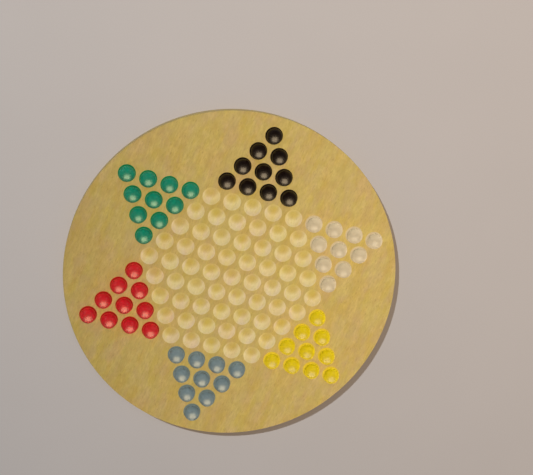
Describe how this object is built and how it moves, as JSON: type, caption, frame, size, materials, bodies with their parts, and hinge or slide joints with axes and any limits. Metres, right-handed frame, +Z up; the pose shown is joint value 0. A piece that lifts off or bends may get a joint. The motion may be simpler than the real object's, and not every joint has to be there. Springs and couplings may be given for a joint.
{
  "type": "chinese checkers board",
  "caption": "Round wooden Chinese checkers board with a star of shallow round hollows; coloured glass marbles stand in the painted home hollows and lift out.",
  "frame": {"origin": "centre of the board's flat underside, which rests on the table", "axes": "+Z up out of the board's face, +Y towards the tip of the black home point, +X to the right of it"},
  "size_m": [0.2984, 0.2984, 0.0238],
  "materials": {
    "board_wood": "pale straight-grained wood, thin satin lacquer, home hollows painted",
    "glass_black": "opaque glossy glass",
    "glass_white": "opaque glossy glass",
    "glass_yellow": "opaque glossy glass",
    "glass_blue": "opaque glossy glass",
    "glass_red": "opaque glossy glass",
    "glass_green": "opaque glossy glass"
  },
  "bodies": {
    "board": {"board": "board_wood"},
    "marble_black_01": {"marble_black_01": "glass_black"},
    "marble_black_02": {"marble_black_02": "glass_black"},
    "marble_black_03": {"marble_black_03": "glass_black"},
    "marble_black_04": {"marble_black_04": "glass_black"},
    "marble_black_05": {"marble_black_05": "glass_black"},
    "marble_black_06": {"marble_black_06": "glass_black"},
    "marble_black_07": {"marble_black_07": "glass_black"},
    "marble_black_08": {"marble_black_08": "glass_black"},
    "marble_black_09": {"marble_black_09": "glass_black"},
    "marble_black_10": {"marble_black_10": "glass_black"},
    "marble_white_01": {"marble_white_01": "glass_white"},
    "marble_white_02": {"marble_white_02": "glass_white"},
    "marble_white_03": {"marble_white_03": "glass_white"},
    "marble_white_04": {"marble_white_04": "glass_white"},
    "marble_white_05": {"marble_white_05": "glass_white"},
    "marble_white_06": {"marble_white_06": "glass_white"},
    "marble_white_07": {"marble_white_07": "glass_white"},
    "marble_white_08": {"marble_white_08": "glass_white"},
    "marble_white_09": {"marble_white_09": "glass_white"},
    "marble_white_10": {"marble_white_10": "glass_white"},
    "marble_yellow_01": {"marble_yellow_01": "glass_yellow"},
    "marble_yellow_02": {"marble_yellow_02": "glass_yellow"},
    "marble_yellow_03": {"marble_yellow_03": "glass_yellow"},
    "marble_yellow_04": {"marble_yellow_04": "glass_yellow"},
    "marble_yellow_05": {"marble_yellow_05": "glass_yellow"},
    "marble_yellow_06": {"marble_yellow_06": "glass_yellow"},
    "marble_yellow_07": {"marble_yellow_07": "glass_yellow"},
    "marble_yellow_08": {"marble_yellow_08": "glass_yellow"},
    "marble_yellow_09": {"marble_yellow_09": "glass_yellow"},
    "marble_yellow_10": {"marble_yellow_10": "glass_yellow"},
    "marble_blue_01": {"marble_blue_01": "glass_blue"},
    "marble_blue_02": {"marble_blue_02": "glass_blue"},
    "marble_blue_03": {"marble_blue_03": "glass_blue"},
    "marble_blue_04": {"marble_blue_04": "glass_blue"},
    "marble_blue_05": {"marble_blue_05": "glass_blue"},
    "marble_blue_06": {"marble_blue_06": "glass_blue"},
    "marble_blue_07": {"marble_blue_07": "glass_blue"},
    "marble_blue_08": {"marble_blue_08": "glass_blue"},
    "marble_blue_09": {"marble_blue_09": "glass_blue"},
    "marble_blue_10": {"marble_blue_10": "glass_blue"},
    "marble_red_01": {"marble_red_01": "glass_red"},
    "marble_red_02": {"marble_red_02": "glass_red"},
    "marble_red_03": {"marble_red_03": "glass_red"},
    "marble_red_04": {"marble_red_04": "glass_red"},
    "marble_red_05": {"marble_red_05": "glass_red"},
    "marble_red_06": {"marble_red_06": "glass_red"},
    "marble_red_07": {"marble_red_07": "glass_red"},
    "marble_red_08": {"marble_red_08": "glass_red"},
    "marble_red_09": {"marble_red_09": "glass_red"},
    "marble_red_10": {"marble_red_10": "glass_red"},
    "marble_green_01": {"marble_green_01": "glass_green"},
    "marble_green_02": {"marble_green_02": "glass_green"},
    "marble_green_03": {"marble_green_03": "glass_green"},
    "marble_green_04": {"marble_green_04": "glass_green"},
    "marble_green_05": {"marble_green_05": "glass_green"},
    "marble_green_06": {"marble_green_06": "glass_green"},
    "marble_green_07": {"marble_green_07": "glass_green"},
    "marble_green_08": {"marble_green_08": "glass_green"},
    "marble_green_09": {"marble_green_09": "glass_green"}
  },
  "joints": [
    {"name": "marble_black_01_lift", "type": "slide", "parent": "board", "child": "marble_black_01", "axis": [0, 0, 1], "range_m": [0, 0.03]},
    {"name": "marble_black_02_lift", "type": "slide", "parent": "board", "child": "marble_black_02", "axis": [0, 0, 1], "range_m": [0, 0.03]},
    {"name": "marble_black_03_lift", "type": "slide", "parent": "board", "child": "marble_black_03", "axis": [0, 0, 1], "range_m": [0, 0.03]},
    {"name": "marble_black_04_lift", "type": "slide", "parent": "board", "child": "marble_black_04", "axis": [0, 0, 1], "range_m": [0, 0.03]},
    {"name": "marble_black_05_lift", "type": "slide", "parent": "board", "child": "marble_black_05", "axis": [0, 0, 1], "range_m": [0, 0.03]},
    {"name": "marble_black_06_lift", "type": "slide", "parent": "board", "child": "marble_black_06", "axis": [0, 0, 1], "range_m": [0, 0.03]},
    {"name": "marble_black_07_lift", "type": "slide", "parent": "board", "child": "marble_black_07", "axis": [0, 0, 1], "range_m": [0, 0.03]},
    {"name": "marble_black_08_lift", "type": "slide", "parent": "board", "child": "marble_black_08", "axis": [0, 0, 1], "range_m": [0, 0.03]},
    {"name": "marble_black_09_lift", "type": "slide", "parent": "board", "child": "marble_black_09", "axis": [0, 0, 1], "range_m": [0, 0.03]},
    {"name": "marble_black_10_lift", "type": "slide", "parent": "board", "child": "marble_black_10", "axis": [0, 0, 1], "range_m": [0, 0.03]},
    {"name": "marble_white_01_lift", "type": "slide", "parent": "board", "child": "marble_white_01", "axis": [0, 0, 1], "range_m": [0, 0.03]},
    {"name": "marble_white_02_lift", "type": "slide", "parent": "board", "child": "marble_white_02", "axis": [0, 0, 1], "range_m": [0, 0.03]},
    {"name": "marble_white_03_lift", "type": "slide", "parent": "board", "child": "marble_white_03", "axis": [0, 0, 1], "range_m": [0, 0.03]},
    {"name": "marble_white_04_lift", "type": "slide", "parent": "board", "child": "marble_white_04", "axis": [0, 0, 1], "range_m": [0, 0.03]},
    {"name": "marble_white_05_lift", "type": "slide", "parent": "board", "child": "marble_white_05", "axis": [0, 0, 1], "range_m": [0, 0.03]},
    {"name": "marble_white_06_lift", "type": "slide", "parent": "board", "child": "marble_white_06", "axis": [0, 0, 1], "range_m": [0, 0.03]},
    {"name": "marble_white_07_lift", "type": "slide", "parent": "board", "child": "marble_white_07", "axis": [0, 0, 1], "range_m": [0, 0.03]},
    {"name": "marble_white_08_lift", "type": "slide", "parent": "board", "child": "marble_white_08", "axis": [0, 0, 1], "range_m": [0, 0.03]},
    {"name": "marble_white_09_lift", "type": "slide", "parent": "board", "child": "marble_white_09", "axis": [0, 0, 1], "range_m": [0, 0.03]},
    {"name": "marble_white_10_lift", "type": "slide", "parent": "board", "child": "marble_white_10", "axis": [0, 0, 1], "range_m": [0, 0.03]},
    {"name": "marble_yellow_01_lift", "type": "slide", "parent": "board", "child": "marble_yellow_01", "axis": [0, 0, 1], "range_m": [0, 0.03]},
    {"name": "marble_yellow_02_lift", "type": "slide", "parent": "board", "child": "marble_yellow_02", "axis": [0, 0, 1], "range_m": [0, 0.03]},
    {"name": "marble_yellow_03_lift", "type": "slide", "parent": "board", "child": "marble_yellow_03", "axis": [0, 0, 1], "range_m": [0, 0.03]},
    {"name": "marble_yellow_04_lift", "type": "slide", "parent": "board", "child": "marble_yellow_04", "axis": [0, 0, 1], "range_m": [0, 0.03]},
    {"name": "marble_yellow_05_lift", "type": "slide", "parent": "board", "child": "marble_yellow_05", "axis": [0, 0, 1], "range_m": [0, 0.03]},
    {"name": "marble_yellow_06_lift", "type": "slide", "parent": "board", "child": "marble_yellow_06", "axis": [0, 0, 1], "range_m": [0, 0.03]},
    {"name": "marble_yellow_07_lift", "type": "slide", "parent": "board", "child": "marble_yellow_07", "axis": [0, 0, 1], "range_m": [0, 0.03]},
    {"name": "marble_yellow_08_lift", "type": "slide", "parent": "board", "child": "marble_yellow_08", "axis": [0, 0, 1], "range_m": [0, 0.03]},
    {"name": "marble_yellow_09_lift", "type": "slide", "parent": "board", "child": "marble_yellow_09", "axis": [0, 0, 1], "range_m": [0, 0.03]},
    {"name": "marble_yellow_10_lift", "type": "slide", "parent": "board", "child": "marble_yellow_10", "axis": [0, 0, 1], "range_m": [0, 0.03]},
    {"name": "marble_blue_01_lift", "type": "slide", "parent": "board", "child": "marble_blue_01", "axis": [0, 0, 1], "range_m": [0, 0.03]},
    {"name": "marble_blue_02_lift", "type": "slide", "parent": "board", "child": "marble_blue_02", "axis": [0, 0, 1], "range_m": [0, 0.03]},
    {"name": "marble_blue_03_lift", "type": "slide", "parent": "board", "child": "marble_blue_03", "axis": [0, 0, 1], "range_m": [0, 0.03]},
    {"name": "marble_blue_04_lift", "type": "slide", "parent": "board", "child": "marble_blue_04", "axis": [0, 0, 1], "range_m": [0, 0.03]},
    {"name": "marble_blue_05_lift", "type": "slide", "parent": "board", "child": "marble_blue_05", "axis": [0, 0, 1], "range_m": [0, 0.03]},
    {"name": "marble_blue_06_lift", "type": "slide", "parent": "board", "child": "marble_blue_06", "axis": [0, 0, 1], "range_m": [0, 0.03]},
    {"name": "marble_blue_07_lift", "type": "slide", "parent": "board", "child": "marble_blue_07", "axis": [0, 0, 1], "range_m": [0, 0.03]},
    {"name": "marble_blue_08_lift", "type": "slide", "parent": "board", "child": "marble_blue_08", "axis": [0, 0, 1], "range_m": [0, 0.03]},
    {"name": "marble_blue_09_lift", "type": "slide", "parent": "board", "child": "marble_blue_09", "axis": [0, 0, 1], "range_m": [0, 0.03]},
    {"name": "marble_blue_10_lift", "type": "slide", "parent": "board", "child": "marble_blue_10", "axis": [0, 0, 1], "range_m": [0, 0.03]},
    {"name": "marble_red_01_lift", "type": "slide", "parent": "board", "child": "marble_red_01", "axis": [0, 0, 1], "range_m": [0, 0.03]},
    {"name": "marble_red_02_lift", "type": "slide", "parent": "board", "child": "marble_red_02", "axis": [0, 0, 1], "range_m": [0, 0.03]},
    {"name": "marble_red_03_lift", "type": "slide", "parent": "board", "child": "marble_red_03", "axis": [0, 0, 1], "range_m": [0, 0.03]},
    {"name": "marble_red_04_lift", "type": "slide", "parent": "board", "child": "marble_red_04", "axis": [0, 0, 1], "range_m": [0, 0.03]},
    {"name": "marble_red_05_lift", "type": "slide", "parent": "board", "child": "marble_red_05", "axis": [0, 0, 1], "range_m": [0, 0.03]},
    {"name": "marble_red_06_lift", "type": "slide", "parent": "board", "child": "marble_red_06", "axis": [0, 0, 1], "range_m": [0, 0.03]},
    {"name": "marble_red_07_lift", "type": "slide", "parent": "board", "child": "marble_red_07", "axis": [0, 0, 1], "range_m": [0, 0.03]},
    {"name": "marble_red_08_lift", "type": "slide", "parent": "board", "child": "marble_red_08", "axis": [0, 0, 1], "range_m": [0, 0.03]},
    {"name": "marble_red_09_lift", "type": "slide", "parent": "board", "child": "marble_red_09", "axis": [0, 0, 1], "range_m": [0, 0.03]},
    {"name": "marble_red_10_lift", "type": "slide", "parent": "board", "child": "marble_red_10", "axis": [0, 0, 1], "range_m": [0, 0.03]},
    {"name": "marble_green_01_lift", "type": "slide", "parent": "board", "child": "marble_green_01", "axis": [0, 0, 1], "range_m": [0, 0.03]},
    {"name": "marble_green_02_lift", "type": "slide", "parent": "board", "child": "marble_green_02", "axis": [0, 0, 1], "range_m": [0, 0.03]},
    {"name": "marble_green_03_lift", "type": "slide", "parent": "board", "child": "marble_green_03", "axis": [0, 0, 1], "range_m": [0, 0.03]},
    {"name": "marble_green_04_lift", "type": "slide", "parent": "board", "child": "marble_green_04", "axis": [0, 0, 1], "range_m": [0, 0.03]},
    {"name": "marble_green_05_lift", "type": "slide", "parent": "board", "child": "marble_green_05", "axis": [0, 0, 1], "range_m": [0, 0.03]},
    {"name": "marble_green_06_lift", "type": "slide", "parent": "board", "child": "marble_green_06", "axis": [0, 0, 1], "range_m": [0, 0.03]},
    {"name": "marble_green_07_lift", "type": "slide", "parent": "board", "child": "marble_green_07", "axis": [0, 0, 1], "range_m": [0, 0.03]},
    {"name": "marble_green_08_lift", "type": "slide", "parent": "board", "child": "marble_green_08", "axis": [0, 0, 1], "range_m": [0, 0.03]},
    {"name": "marble_green_09_lift", "type": "slide", "parent": "board", "child": "marble_green_09", "axis": [0, 0, 1], "range_m": [0, 0.03]}
  ]
}
